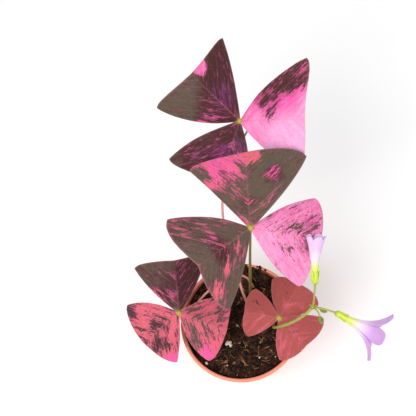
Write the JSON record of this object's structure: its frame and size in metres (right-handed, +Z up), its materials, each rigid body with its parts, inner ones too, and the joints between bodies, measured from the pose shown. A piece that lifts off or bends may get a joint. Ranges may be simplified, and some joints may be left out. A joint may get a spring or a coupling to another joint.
{
  "type": "purple shamrock in a nursery pot",
  "caption": "Variegated purple shamrock with three-part leaves and pale lilac flowers, growing in a small terracotta-coloured plastic nursery pot.",
  "frame": {"origin": "middle of the pot's flat underside", "axes": "+Z up along the pot's axis, +Y towards the side that the tallest leaf leans to"},
  "size_m": [0.1363, 0.1824, 0.1554],
  "materials": {
    "pot_plastic": "satin",
    "potting_soil": "rough, damp",
    "leaf": "soft matte with pink marbling",
    "petiole": "soft satin",
    "flower_stalk": "soft satin",
    "petal": "soft, slightly translucent",
    "rhizome": "scaly, matte"
  },
  "bodies": {
    "root": {"pot": "pot_plastic", "soil": "potting_soil", "rhizome_1": "rhizome", "rhizome_2": "rhizome", "petiole_1": "petiole", "petiole_2": "petiole", "petiole_3": "petiole", "petiole_4": "petiole", "leaf_1": "leaf", "leaf_2": "leaf", "leaf_3": "leaf", "leaf_4": "leaf", "flower_stalk": "flower_stalk", "bud_1": "flower_stalk", "bud_2": "flower_stalk", "calyx_1": "flower_stalk", "calyx_2": "flower_stalk", "corolla_1": "petal", "corolla_2": "petal", "stamens_1": "flower_stalk", "stamens_2": "flower_stalk"}
  },
  "joints": []
}
